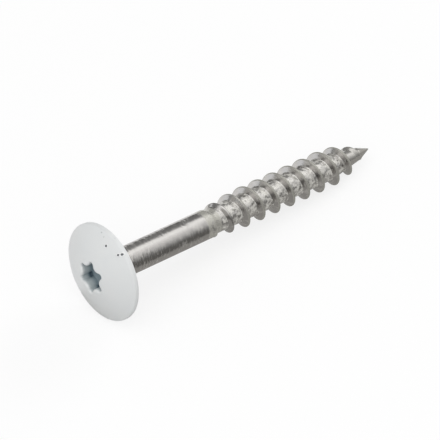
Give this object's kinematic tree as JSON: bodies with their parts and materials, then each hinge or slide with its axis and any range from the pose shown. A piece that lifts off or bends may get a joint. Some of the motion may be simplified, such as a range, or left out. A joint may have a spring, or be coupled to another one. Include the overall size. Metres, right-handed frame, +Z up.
{
  "type": "facade screw",
  "caption": "Stainless facade screw with a low domed, painted head, a six-lobe recess, a smooth shank and a coarse wood thread with a sharp point, lying on its side.",
  "frame": {"origin": "centre of the bounding box in plan, at the ground under the lying screw", "axes": "+Z up, +X along the lying screw towards its point in plan, -X towards the domed head; the screw leans down towards its point by about six degrees and rests on the rim of the head and on one crest of the thread"},
  "size_m": [0.0428, 0.012, 0.012],
  "materials": {
    "stainless_steel": "satin, drawn shank and rolled thread",
    "head_paint": "satin pale grey paint"
  },
  "bodies": {
    "root": {"facade_screw": "stainless_steel"}
  },
  "joints": []
}
